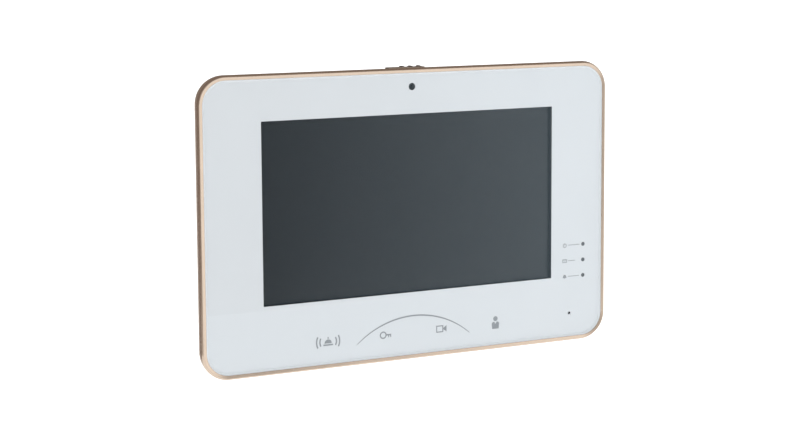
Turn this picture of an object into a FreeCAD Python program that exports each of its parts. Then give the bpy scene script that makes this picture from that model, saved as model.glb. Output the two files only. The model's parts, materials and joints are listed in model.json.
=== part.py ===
"""Wall-mounted video intercom monitor with a 7-inch screen, as an assembly of separate pieces.

Frame: the wall is the plane y = 0 and the monitor faces -Y, with +X to the viewer's right and +Z up.
The origin is the centre of the wall plate's screw pattern. All lengths are in millimetres.
A depth is a distance forward of the wall, so a piece at depth d lies at y = -d.
"""

import FreeCAD, Part

import math
import os
import re

import Sketcher

ROTATE_TO_FRONT = FreeCAD.Rotation(FreeCAD.Vector(1, 0, 0), 90)  # turns +Z to -Y

DIMENSIONS = {
    # whole body
    "width": 217.0,
    "height": 142.0,
    "corner": 13.6,
    "total_depth": 26.0,
    # trim frame: a metal ring round the glass, widest at widest_depth
    "ring_wall": 2.35,
    "ring_back": 20.0,
    "lip_width": 0.95,
    "lip_slope": 0.25,
    "widest_depth": 24.3,
    "ring_tuck": 0.6,
    "assembly_gap": 0.1,
    # cover glass, printed ink and touch sensor
    "glass_face": 25.8,
    "glass_thick": 1.1,
    "ink_thick": 0.1,
    "ink_margin": 0.2,
    "sensor_thick": 0.5,
    "window_width": 155.0,
    "window_height": 87.0,
    "window_up": 5.4,
    "window_corner": 0.4,
    # camera, indicators, microphone
    "lens_up": 62.0,
    "lens_window": 1.75,
    "lamp_x": 96.0,
    "lamp_top": -22.0,
    "lamp_pitch": 8.0,
    "lamp_window": 1.0,
    "mic_x": 88.0,
    "mic_z": -56.9,
    "mic_hole": 0.7,
    # screen
    "panel_front": 22.4,
    "panel_thick": 1.4,
    "tray_thick": 3.0,
    "panel_width": 163.0,
    "panel_height": 97.0,
    "tray_width": 164.8,
    "tray_height": 100.0,
    "gasket_width": 3.6,
    "gasket_clear": 0.3,
    # inner carrier
    "carrier_front": 24.6,
    "carrier_floor": 21.2,
    "carrier_rim": 3.0,
    "carrier_boss": 23.2,
    "screw_x": 91.0,
    "screw_z": 50.0,
    "foot_screw_x": 30.0,
    "foot_screw_z": -55.0,
    # rear housing
    "housing_back": 0.6,
    "front_inset": 1.2,
    "back_inset": 9.0,
    "back_corner": 8.0,
    "wall": 2.2,
    "recess_floor": 3.2,
    "recess_gap": 0.8,
    "boss_radius": 3.2,
    "screw_seat": 8.0,
    "head_hole": 2.7,
    "shank_hole": 1.4,
    "post_radius": 2.8,
    # wall plate and its hooks
    "plate_width": 120.0,
    "plate_height": 94.0,
    "plate_thick": 1.5,
    "plate_corner": 5.0,
    "lift": 6.0,
    "hook_x": 44.0,
    "hook_high": 30.0,
    "hook_low": -26.0,
    "hook_width": 10.0,
    "hook_tip": 4.0,
    "hook_reach": 7.2,
    "box_pitch": 60.0,
    "slot_long": 8.0,
    "slot_half": 2.2,
    "anchor_x": 104.0,
    "anchor_z": 80.0,
    "anchor_hole": 2.25,
    "cable_half": 24.0,
    "cable_top": -5.0,
    "cable_bottom": -31.0,
    "tab_half": 6.0,
    "tab_bottom": -54.2,
    "tab_reach": 12.0,
    # lock screw
    "lock_depth": 8.0,
    "lock_radius": 1.5,
    "lock_hole": 1.8,
    "lock_head": 2.8,
    "lock_head_high": 2.0,
    "lock_seat": -63.0,
    "lock_block_top": -60.5,
    # shutter slider on the top edge
    "plinth_left": 12.4,
    "plinth_right": 7.0,
    "plinth_front": 24.6,
    "plinth_back": 20.9,
    "plinth_bottom": 69.5,
    "plinth_top": 71.45,
    "knob_half": 5.9,
    "knob_front": 24.2,
    "knob_back": 21.4,
    "knob_bottom": 70.3,
    "ridge_pitch": 4.4,
    "ridge_radius": 1.35,
    "ridge_high": 0.55,
    "stem_half": 4.0,
    "stem_thick": 1.0,
    "travel": 6.5,
    "running_gap": 0.15,
    "blade_thick": 0.4,
    "blade_start": 2.9,
    "blade_end": 11.0,
    "blade_low": 58.6,
    "blade_high": 65.2,
    # main board
    "board_front": 16.6,
    "board_thick": 1.6,
    "board_half": 59.0,
    "board_top": 38.0,
    "board_bottom": -42.0,
    "post_x": 53.0,
    "post_top": 33.0,
    "post_bottom": -37.0,
    # connectors
    "connector_end": 3.4,
    "jack_x": -13.0,
    "jack_z": -18.0,
    "jack_width": 16.2,
    "jack_height": 13.8,
    "jack_mouth_width": 11.8,
    "jack_mouth_height": 8.2,
    "jack_mouth_deep": 9.0,
    "door_x": 10.5,
    "door_z": -13.0,
    "door_width": 22.0,
    "power_x": 10.5,
    "power_z": -24.0,
    "power_width": 15.0,
    "terminal_height": 7.4,
    "pole_pitch": 3.5,
    "pole_radius": 1.1,
    # loudspeaker
    "speaker_x": -78.0,
    "speaker_z": -25.0,
    "speaker_radius": 14.0,
    "speaker_floor": 2.8,
    "speaker_gasket_thick": 0.8,
    # small boards, strips and fasteners
    "key_board_back": 23.4,
    "key_board_thick": 1.1,
    "key_board_half": 60.0,
    "key_board_top": -50.5,
    "key_board_bottom": -64.5,
    "flex_thick": 0.2,
    "flex_half": 5.0,
    "key_flex_x": 40.0,
    "screw_radius": 1.1,
    "screw_head": 2.2,
    "screw_head_high": 1.6,
    "camera_board_back": 14.0,
    "camera_board_front": 15.0,
    "camera_board_half": 12.0,
    "camera_screw_x": 9.0,
    "camera_screw_z": 61.2,
    "holder_half": 3.25,
    "holder_front": 21.0,
    "barrel_radius": 2.6,
    "barrel_front": 23.0,
    "lens_radius": 1.7,
}

doc = FreeCAD.newDocument("VideoIntercomMonitor")
sheet = doc.addObject("Spreadsheet::Sheet", "Dimensions")
for row, (alias, value) in enumerate(DIMENSIONS.items(), start=1):
    sheet.set(f"A{row}", alias)
    sheet.set(f"B{row}", str(value))
    sheet.setAlias(f"B{row}", alias)
doc.recompute()

subparts = []


# ---------------------------------------------------------------- expressions

def linked(text):
    """The expression with each alias pointing at its cell."""
    return re.sub(r"[a-z_]+", lambda m: f"Dimensions.{m[0]}" if m[0] in DIMENSIONS else m[0], str(text))


def bind(item, path, text):
    item.setExpression(path, linked(text))


def keep(item, label):
    """Marks an object as a finished sub-part."""
    item.Label = label
    subparts.append(item)
    return item


# ---------------------------------------------------------------- Part primitives

def block(name, x, depth, z):
    """A box between two x, two depths and two heights, each pair as expressions."""
    box = doc.addObject("Part::Box", name)
    bind(box, "Length", f"({x[1]}) - ({x[0]})")
    bind(box, "Width", f"({depth[1]}) - ({depth[0]})")
    bind(box, "Height", f"({z[1]}) - ({z[0]})")
    bind(box, "Placement.Base.x", x[0])
    bind(box, "Placement.Base.y", f"-({depth[1]})")
    bind(box, "Placement.Base.z", z[0])
    return box


def disc(name, x, depth, z, radius):
    """A cylinder along the depth between two depths."""
    rod = doc.addObject("Part::Cylinder", name)
    rod.Placement = FreeCAD.Placement(FreeCAD.Vector(), ROTATE_TO_FRONT)
    bind(rod, "Radius", radius)
    bind(rod, "Height", f"({depth[1]}) - ({depth[0]})")
    bind(rod, "Placement.Base.x", x)
    bind(rod, "Placement.Base.y", f"-({depth[0]})")
    bind(rod, "Placement.Base.z", z)
    return rod


def upright(name, x, depth, z, radius):
    """A cylinder along +Z between two heights."""
    rod = doc.addObject("Part::Cylinder", name)
    bind(rod, "Radius", radius)
    bind(rod, "Height", f"({z[1]}) - ({z[0]})")
    bind(rod, "Placement.Base.x", x)
    bind(rod, "Placement.Base.y", f"-({depth})")
    bind(rod, "Placement.Base.z", z[0])
    return rod


def cone(name, x, depth, z, radii):
    """A cone along the depth, with its back radius and its front radius."""
    rod = doc.addObject("Part::Cone", name)
    rod.Placement = FreeCAD.Placement(FreeCAD.Vector(), ROTATE_TO_FRONT)
    bind(rod, "Radius1", radii[0])
    bind(rod, "Radius2", radii[1])
    bind(rod, "Height", f"({depth[1]}) - ({depth[0]})")
    bind(rod, "Placement.Base.x", x)
    bind(rod, "Placement.Base.y", f"-({depth[0]})")
    bind(rod, "Placement.Base.z", z)
    return rod


def fuse(name, pieces):
    joined = doc.addObject("Part::MultiFuse", name)
    joined.Shapes = pieces
    joined.Refine = True
    return joined


def group(name, pieces):
    """Separate solids of one kind, kept together."""
    held = doc.addObject("Part::Compound", name)
    held.Links = pieces
    return held


def cut(name, base, tools):
    """base with every tool taken out of it."""
    taken = doc.addObject("Part::Cut", name)
    taken.Base = base
    taken.Tool = tools[0] if len(tools) == 1 else fuse(f"{name}_tools", tools)
    return taken


# ---------------------------------------------------------------- PartDesign helpers

def new_body(label):
    body = doc.addObject("PartDesign::Body", label)
    return keep(body, label)


def sketch_at(body, name, depth):
    """A sketch facing the front, at a depth. Its axes are X and Z."""
    sketch = body.newObject("Sketcher::SketchObject", name)
    plane = next(f for f in body.Origin.OriginFeatures if f.Role == "XZ_Plane")
    sketch.AttachmentSupport = [(plane, "")]
    sketch.MapMode = "FlatFace"
    bind(sketch, "AttachmentOffset.Base.z", depth)
    return sketch


def hold(sketch, words, text):
    """Adds a dimension to the sketch and holds it at an expression."""
    index = sketch.addConstraint(Sketcher.Constraint(*words))
    bind(sketch, f"Constraints[{index}]", text)


def rectangle(sketch, x, z):
    """A rectangle between two x and two z, each pair as expressions."""
    first = sketch.GeometryCount
    corners = [(-10, -10), (10, -10), (10, 10), (-10, 10)]
    for start, end in zip(corners, corners[1:] + corners[:1]):
        sketch.addGeometry(Part.LineSegment(FreeCAD.Vector(*start, 0), FreeCAD.Vector(*end, 0)), False)
    for side in range(4):
        line, following = first + side, first + (side + 1) % 4
        sketch.addConstraint(Sketcher.Constraint("Coincident", line, 2, following, 1))
        sketch.addConstraint(Sketcher.Constraint("Vertical" if side % 2 else "Horizontal", line))
    hold(sketch, ("DistanceX", -1, 1, first, 1, -10.0), x[0])
    hold(sketch, ("DistanceX", -1, 1, first + 1, 1, 10.0), x[1])
    hold(sketch, ("DistanceY", -1, 1, first, 1, -10.0), z[0])
    hold(sketch, ("DistanceY", -1, 1, first + 2, 1, 10.0), z[1])


def rounded_rectangle(sketch, x, z, radius):
    """A rectangle with four equal round corners, each joined on a tangent."""
    first = sketch.GeometryCount
    half_x, half_z, start_radius = 20, 15, 3
    inner_x, inner_z = half_x - start_radius, half_z - start_radius
    sides = [
        ((-inner_x, -half_z), (inner_x, -half_z)),
        ((half_x, -inner_z), (half_x, inner_z)),
        ((inner_x, half_z), (-inner_x, half_z)),
        ((-half_x, inner_z), (-half_x, -inner_z)),
    ]
    centres = [(inner_x, -inner_z), (inner_x, inner_z), (-inner_x, inner_z), (-inner_x, -inner_z)]
    for quarter, (side, centre) in enumerate(zip(sides, centres)):
        ends = [FreeCAD.Vector(*point, 0) for point in side]
        sketch.addGeometry(Part.LineSegment(*ends), False)
        circle = Part.Circle(FreeCAD.Vector(*centre, 0), FreeCAD.Vector(0, 0, 1), start_radius)
        start_angle = math.radians(90 * (quarter - 1))
        sketch.addGeometry(Part.ArcOfCircle(circle, start_angle, start_angle + math.pi / 2), False)
    for quarter in range(4):
        line = first + 2 * quarter
        arc = line + 1
        following = first + (2 * quarter + 2) % 8
        sketch.addConstraint(Sketcher.Constraint("Tangent", line, 2, arc, 1))
        sketch.addConstraint(Sketcher.Constraint("Tangent", arc, 2, following, 1))
        sketch.addConstraint(Sketcher.Constraint("Vertical" if quarter % 2 else "Horizontal", line))
        if quarter:
            sketch.addConstraint(Sketcher.Constraint("Equal", first + 1, arc))
    hold(sketch, ("Radius", first + 1, float(start_radius)), radius)
    hold(sketch, ("DistanceY", -1, 1, first, 1, -float(half_z)), z[0])
    hold(sketch, ("DistanceX", -1, 1, first + 2, 1, float(half_x)), x[1])
    hold(sketch, ("DistanceY", -1, 1, first + 4, 1, float(half_z)), z[1])
    hold(sketch, ("DistanceX", -1, 1, first + 6, 1, -float(half_x)), x[0])


def outline(sketch, inset, radius=None):
    """The body's rounded outline, drawn in from the widest line by an inset."""
    half_width = f"width / 2 - ({inset})"
    half_height = f"height / 2 - ({inset})"
    ends = (f"-({half_width})", half_width)
    rounded_rectangle(sketch, ends, (f"-({half_height})", half_height), radius or f"corner - ({inset})")


def circle(sketch, x, z, radius):
    first = sketch.GeometryCount
    sketch.addGeometry(Part.Circle(FreeCAD.Vector(5, 5, 0), FreeCAD.Vector(0, 0, 1), 1), False)
    hold(sketch, ("Radius", first, 1.0), radius)
    hold(sketch, ("DistanceX", -1, 1, first, 3, 5.0), x)
    hold(sketch, ("DistanceY", -1, 1, first, 3, 5.0), z)


def slot(sketch, x, z, length, half):
    """A slot along X, centred on a point, with its end-to-end length and half its width."""
    first = sketch.GeometryCount
    run = 4.0
    left, right = FreeCAD.Vector(-run, 0, 0), FreeCAD.Vector(run, 0, 0)
    up, normal = FreeCAD.Vector(0, 1, 0), FreeCAD.Vector(0, 0, 1)
    quarter = math.pi / 2
    sketch.addGeometry(Part.LineSegment(left - up, right - up), False)
    sketch.addGeometry(Part.ArcOfCircle(Part.Circle(right, normal, 1), -quarter, quarter), False)
    sketch.addGeometry(Part.LineSegment(right + up, left + up), False)
    sketch.addGeometry(Part.ArcOfCircle(Part.Circle(left, normal, 1), quarter, 3 * quarter), False)
    for side in range(4):
        following = first + (side + 1) % 4
        sketch.addConstraint(Sketcher.Constraint("Tangent", first + side, 2, following, 1))
    sketch.addConstraint(Sketcher.Constraint("Horizontal", first))
    sketch.addConstraint(Sketcher.Constraint("Equal", first + 1, first + 3))
    hold(sketch, ("Radius", first + 1, 1.0), half)
    hold(sketch, ("DistanceX", -1, 1, first + 1, 3, run), f"({x}) + ({length}) / 2 - ({half})")
    hold(sketch, ("DistanceX", -1, 1, first + 3, 3, -run), f"({x}) - ({length}) / 2 + ({half})")
    hold(sketch, ("DistanceY", -1, 1, first + 1, 3, 0.0), z)


def pad(body, sketch, length):
    """Adds the sketch's area forward by a length."""
    feature = body.newObject("PartDesign::Pad", f"{sketch.Name}_pad")
    feature.Profile = sketch
    bind(feature, "Length", length)
    return feature


def pocket(body, sketch, length):
    """Takes the sketch's area away forward by a length."""
    feature = body.newObject("PartDesign::Pocket", f"{sketch.Name}_pocket")
    feature.Profile = sketch
    feature.Reversed = True
    bind(feature, "Length", length)
    doc.recompute()
    before = feature.BaseFeature.Shape.Volume
    if feature.Shape.Volume >= before - 1e-6:
        raise ValueError(f"{feature.Name} cuts nothing")
    return feature


def plate(label, depth, thickness, draw):
    """A body of one pad, drawn by a function on a sketch at a depth. Returns the body."""
    body = new_body(label)
    sketch = sketch_at(body, f"{label}_outline", depth)
    draw(sketch)
    pad(body, sketch, thickness)
    return body


def cut_through(body, name, depth, length, draw):
    sketch = sketch_at(body, name, depth)
    draw(sketch)
    pocket(body, sketch, length)


def add_on(body, name, depth, length, draw):
    sketch = sketch_at(body, name, depth)
    draw(sketch)
    pad(body, sketch, length)


# ---------------------------------------------------------------- shared outlines

GLASS_BACK = "glass_face - glass_thick"
INK_BACK = f"{GLASS_BACK} - ink_thick"
SENSOR_BACK = f"{INK_BACK} - sensor_thick"
PANEL_BACK = "panel_front - panel_thick"
TRAY_BACK = f"{PANEL_BACK} - tray_thick"
GLASS_INSET = "ring_wall + assembly_gap"
BOARD_BACK = "board_front - board_thick"
LAMPS = [f"lamp_top - {index} * lamp_pitch" for index in range(3)]
CARRIER_SCREWS = [(f"{side} * screw_x", f"{level} * screw_z") for side in (-1, 1) for level in (-1, 0, 1)]
CARRIER_SCREWS += [(f"{side} * foot_screw_x", "foot_screw_z") for side in (-1, 1)]
POSTS = [(f"{side} * post_x", level) for side in (-1, 1) for level in ("post_top", "post_bottom")]
HOOKS = [(f"{side} * hook_x", level) for side in (-1, 1) for level in ("hook_high", "hook_low")]


def centred(width, height, up="0", x="0"):
    """The two x and the two z of a rectangle about a point."""
    return (
        (f"({x}) - ({width}) / 2", f"({x}) + ({width}) / 2"),
        (f"({up}) - ({height}) / 2", f"({up}) + ({height}) / 2"),
    )


def window(sketch):
    rounded_rectangle(sketch, *centred("window_width", "window_height", "window_up"), "window_corner")


def mic_opening(sketch):
    circle(sketch, "mic_x", "mic_z", "mic_hole")


# ---------------------------------------------------------------- front: glass, ink, frame

def make_front_glass():
    """One clear sheet with a drilled microphone hole."""
    body = plate("front_glass", GLASS_BACK, "glass_thick", lambda s: outline(s, GLASS_INSET))
    cut_through(body, "glass_mic_hole", f"{GLASS_BACK} - 1", "glass_thick + 2", mic_opening)


def make_ink_layer():
    """White print behind the glass, open at the screen, the camera, the lamps and the microphone."""
    inset = f"{GLASS_INSET} + ink_margin"
    body = plate("ink_layer", INK_BACK, "ink_thick", lambda s: outline(s, inset))

    def openings(sketch):
        window(sketch)
        circle(sketch, "0", "lens_up", "lens_window")
        for lamp in LAMPS:
            circle(sketch, "lamp_x", lamp, "lamp_window")
        mic_opening(sketch)

    cut_through(body, "ink_openings", f"{INK_BACK} - 1", "2", openings)


def make_touch_sensor():
    """Clear touch film behind the window."""
    size = centred("window_width + 5", "window_height + 5", "window_up")
    plate("touch_sensor", SENSOR_BACK, "sensor_thick", lambda s: rectangle(s, *size))


def make_screen_gasket():
    """Black foam ring that seals the gap between the touch film and the screen."""
    outer = centred(
        "window_width + 2 * (gasket_clear + gasket_width)",
        "window_height + 2 * (gasket_clear + gasket_width)",
        "window_up",
    )
    inner = centred("window_width + 2 * gasket_clear", "window_height + 2 * gasket_clear", "window_up")
    thickness = f"{SENSOR_BACK} - panel_front"
    body = plate("screen_gasket", "panel_front", thickness, lambda s: rectangle(s, *outer))
    cut_through(body, "gasket_opening", "panel_front - 1", f"{thickness} + 2", lambda s: rectangle(s, *inner))


def make_screen():
    """The glass panel, the backlight tray behind it and the strip that feeds them."""
    panel = centred("panel_width", "panel_height", "window_up")
    plate("lcd_panel", PANEL_BACK, "panel_thick", lambda s: rectangle(s, *panel))
    tray = centred("tray_width", "tray_height", "window_up")
    plate("backlight_tray", TRAY_BACK, "tray_thick", lambda s: rounded_rectangle(s, *tray, "1"))


def ring_profile(body):
    """Half section of the frame at its top edge: inner wall, sloped lip, round shoulder, tuck."""
    sketch = body.newObject("Sketcher::SketchObject", "ring_profile")
    plane = next(f for f in body.Origin.OriginFeatures if f.Role == "YZ_Plane")
    sketch.AttachmentSupport = [(plane, "")]
    sketch.MapMode = "FlatFace"
    half = "height / 2"
    corners = [
        ("-ring_back", f"{half} - ring_wall"),
        ("-(total_depth - lip_slope)", f"{half} - ring_wall"),
        ("-total_depth", f"{half} - lip_width"),
        ("-widest_depth", half),
        ("-ring_back", f"{half} - ring_tuck"),
    ]
    start = [(-20, 68.6), (-25.75, 68.6), (-26, 70.05), (-24.3, 71), (-20, 70.4)]
    points = [FreeCAD.Vector(*point, 0) for point in start]
    shoulder = 2
    for index, point in enumerate(points):
        following = points[(index + 1) % len(points)]
        if index == shoulder:
            middle = FreeCAD.Vector(-25.4, 70.65, 0)
            sketch.addGeometry(Part.Arc(following, middle, point), False)
        else:
            sketch.addGeometry(Part.LineSegment(point, following), False)
    for index in range(len(points)):
        following = (index + 1) % len(points)
        end = 1 if index == shoulder else 2
        begin = 2 if following == shoulder else 1
        sketch.addConstraint(Sketcher.Constraint("Coincident", index, end, following, begin))
    for index, (y, z) in enumerate(corners):
        begin = 2 if index == shoulder else 1
        hold(sketch, ("DistanceX", -1, 1, index, begin, float(start[index][0])), y)
        hold(sketch, ("DistanceY", -1, 1, index, begin, float(start[index][1])), z)
    hold(sketch, ("DistanceX", -1, 1, shoulder, 3, -24.3), "-widest_depth")
    return sketch


def make_trim_frame():
    """Metal ring swept round the outline, with a seat for the slider's plinth in its top edge."""
    body = new_body("trim_frame")
    path = sketch_at(body, "ring_path", "widest_depth")
    outline(path, "0")
    sweep = body.newObject("PartDesign::AdditivePipe", "ring_sweep")
    sweep.Profile = ring_profile(body)
    sweep.Spine = (path, [f"Edge{edge}" for edge in range(1, 9)])
    doc.recompute()
    body.Tip = sweep

    def seat(sketch):
        rectangle(sketch, ("-plinth_left", "plinth_right"), ("plinth_bottom", "plinth_top + 1"))

    def stem_slot(sketch):
        rectangle(sketch, stem_sweep("running_gap"), ("height / 2 - ring_wall - 1", "plinth_bottom + 1"))

    cut_through(body, "plinth_seat", "plinth_back", "plinth_front - plinth_back", seat)
    cut_through(body, "stem_slot", *stem_depths(), stem_slot)


def stem_sweep(gap):
    """The two x that the shutter's stem reaches as it slides, with a gap each side."""
    return f"-stem_half - travel - {gap}", f"stem_half + {gap}"


def stem_depths():
    """Back depth and length along the depth of the slot that the stem slides in."""
    return "knob_front - stem_thick - running_gap", "stem_thick + 2 * running_gap"


# ---------------------------------------------------------------- camera shutter

def make_slider_plinth():
    """Raised surround on the top edge, with a bed for the knob and a slot for its stem."""
    depths = ("plinth_back", "plinth_front - plinth_back")

    def shape(sketch):
        rectangle(sketch, ("-plinth_left", "plinth_right"), ("plinth_bottom", "plinth_top"))

    def bed(sketch):
        reach = ("-knob_half - travel - running_gap", "knob_half + running_gap")
        rectangle(sketch, reach, ("knob_bottom - running_gap", "plinth_top + 1"))

    def stem_slot(sketch):
        rectangle(sketch, stem_sweep("running_gap"), ("plinth_bottom - 1", "knob_bottom"))

    body = plate("slider_plinth", *depths, shape)
    bed_back = "knob_back - running_gap"
    cut_through(body, "knob_bed", bed_back, f"knob_front + running_gap - ({bed_back})", bed)
    cut_through(body, "plinth_stem_slot", *stem_depths(), stem_slot)


def make_shutter():
    """Ribbed knob with its stem, and the blade that the stem carries behind the glass."""
    stem_back = "knob_front - stem_thick"
    stem_heights = ("blade_high", "knob_bottom + 0.2")
    wide, deep = ("-knob_half", "knob_half"), ("knob_back", "knob_front")
    pieces = [
        block("knob_base", wide, deep, ("knob_bottom", "plinth_top")),
        block("knob_stem", ("-stem_half", "stem_half"), (stem_back, "knob_front"), stem_heights),
    ]
    for index in (-1, 0, 1):
        ridge = doc.addObject("Part::Cylinder", f"ridge_{index + 2}")
        ridge.Placement = FreeCAD.Placement(FreeCAD.Vector(), ROTATE_TO_FRONT)
        bind(ridge, "Radius", "ridge_radius")
        bind(ridge, "Height", "knob_front - knob_back")
        bind(ridge, "Placement.Base.x", f"{index} * ridge_pitch")
        bind(ridge, "Placement.Base.y", "-knob_back")
        bind(ridge, "Placement.Base.z", "plinth_top + ridge_high - ridge_radius")
        crown = doc.addObject("Part::Common", f"ridge_crown_{index + 2}")
        crown.Base = ridge
        above = ("knob_bottom + 0.1", "plinth_top + 2")
        crown.Tool = block(f"ridge_room_{index + 2}", wide, deep, above)
        pieces.append(crown)
    keep(fuse("shutter_knob", pieces), "shutter_knob")
    depths = ("knob_front - blade_thick", "knob_front")
    leaf = block("blade_leaf", ("blade_start", "blade_end"), depths, ("blade_low", "blade_high"))
    foot = block("blade_foot", ("-stem_half", "blade_end"), depths, ("blade_high - 1.6", "blade_high"))
    keep(fuse("shutter_blade", [leaf, foot]), "shutter_blade")


# ---------------------------------------------------------------- inner carrier

def make_inner_carrier():
    """Black tray that fits inside the frame: a rim under the glass and a floor that holds the boards."""
    inset = GLASS_INSET
    body = plate("inner_carrier", "ring_back", "carrier_front - ring_back", lambda s: outline(s, inset))
    well = "carrier_front - carrier_floor + 1"
    rim = f"{inset} + carrier_rim"
    cut_through(body, "carrier_well", "carrier_floor", well, lambda s: outline(s, rim))
    bosses = (
        "carrier_floor - 0.2",
        "carrier_boss - carrier_floor + 0.2",
        lambda s: [circle(s, x, z, "2.5") for x, z in CARRIER_SCREWS],
    )
    add_on(body, "carrier_bosses", *bosses)
    rests = (
        "carrier_floor - 0.2",
        "key_board_back - carrier_floor + 0.2",
        lambda s: [circle(s, f"{side} * 50", "-57.5", "2.0") for side in (-1, 1)],
    )
    add_on(body, "key_board_rests", *rests)
    columns = (
        "camera_board_front",
        "ring_back - camera_board_front + 0.2",
        lambda s: [circle(s, f"{side} * camera_screw_x", "camera_screw_z", "2.2") for side in (-1, 1)],
    )
    add_on(body, "camera_columns", *columns)

    def openings(sketch):
        tray = centred("tray_width + 0.8", "tray_height + 0.8", "window_up")
        rounded_rectangle(sketch, *tray, "1.2")
        camera_heights = ("57.2", "lens_up + holder_half + 0.2")
        rectangle(sketch, ("-holder_half - 0.3", "holder_half + 0.3"), camera_heights)
        key_flex = ("-flex_half + key_flex_x - 0.5", "flex_half + key_flex_x + 0.5")
        rectangle(sketch, key_flex, ("-48.8", "-46.4"))

    cut_through(body, "carrier_openings", "ring_back - 1", "carrier_front - ring_back + 2", openings)

    def bores(sketch):
        for x, z in CARRIER_SCREWS:
            circle(sketch, x, z, "screw_radius + 0.02")

    def camera_bores(sketch):
        for side in (-1, 1):
            circle(sketch, f"{side} * camera_screw_x", "camera_screw_z", "0.92")

    cut_through(body, "screw_bores", "ring_back - 1", "carrier_boss - ring_back + 0.6", bores)
    cut_through(body, "camera_bores", "camera_board_front - 1", "5", camera_bores)

    def shutter_path(sketch):
        rim = ("height / 2 - ring_wall - carrier_rim - 2", "height / 2")
        rectangle(sketch, stem_sweep("running_gap"), rim)

    cut_through(body, "shutter_path", *stem_depths(), shutter_path)


# ---------------------------------------------------------------- rear housing

def level_sketch(body, name, height):
    """A sketch facing up, at a height. Its axes are X and Y."""
    sketch = body.newObject("Sketcher::SketchObject", name)
    plane = next(f for f in body.Origin.OriginFeatures if f.Role == "XY_Plane")
    sketch.AttachmentSupport = [(plane, "")]
    sketch.MapMode = "FlatFace"
    bind(sketch, "AttachmentOffset.Base.z", height)
    return sketch


def loft(body, kind, name, front, back):
    """A loft between two rounded outlines, each a depth, an inset and a corner radius."""
    sketches = []
    for end, (depth, inset, radius) in (("front", front), ("back", back)):
        sketch = sketch_at(body, f"{name}_{end}", depth)
        outline(sketch, inset, radius)
        sketches.append(sketch)
    feature = body.newObject(f"PartDesign::{kind}", name)
    feature.Profile = sketches[0]
    feature.Sections = [sketches[1]]
    feature.Ruled = True
    doc.recompute()
    body.Tip = feature
    return feature


def make_rear_housing():
    """White tapered shell with a recess for the wall plate, screw bosses, board posts and openings."""
    body = new_body("rear_housing")
    front = ("ring_back", "front_inset", "corner - front_inset")
    back = ("housing_back", "back_inset", "back_corner")
    loft(body, "AdditiveLoft", "shell", front, back)
    inner_front = ("ring_back", "front_inset + wall", "corner - front_inset - wall")
    inner_back = ("housing_back + wall", "back_inset + wall", "back_corner - wall")
    loft(body, "SubtractiveLoft", "hollow", inner_front, inner_back)
    add_housing_supports(body)
    cut_housing_openings(body)


def add_housing_supports(body):
    inside = "housing_back + wall - 0.2"
    recess_x = "plate_width / 2 + recess_gap + wall"
    recess_low = "-(plate_height / 2 + recess_gap + lift + wall)"
    recess_high = "plate_height / 2 + recess_gap + wall"
    floor = f"recess_floor + wall - ({inside})"

    def recess_backing(sketch):
        rectangle(sketch, (f"-({recess_x})", recess_x), (recess_low, recess_high))

    def tongue_backing(sketch):
        rectangle(sketch, ("-9", "9"), ("lock_seat", f"{recess_low} + 1"))

    def lock_block(sketch):
        rectangle(sketch, ("-6", "6"), ("lock_seat", "lock_block_top"))

    def bosses(sketch):
        for x, z in CARRIER_SCREWS:
            circle(sketch, x, z, "boss_radius")

    def posts(sketch):
        for x, z in POSTS:
            circle(sketch, x, z, "post_radius")

    add_on(body, "recess_backing", inside, floor, recess_backing)
    add_on(body, "tongue_backing", inside, floor, tongue_backing)
    add_on(body, "lock_block", inside, f"lock_depth + 4 - ({inside})", lock_block)
    add_on(body, "screw_bosses", inside, f"ring_back - ({inside})", bosses)
    add_on(body, "board_posts", inside, f"{BOARD_BACK} - ({inside})", posts)


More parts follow.
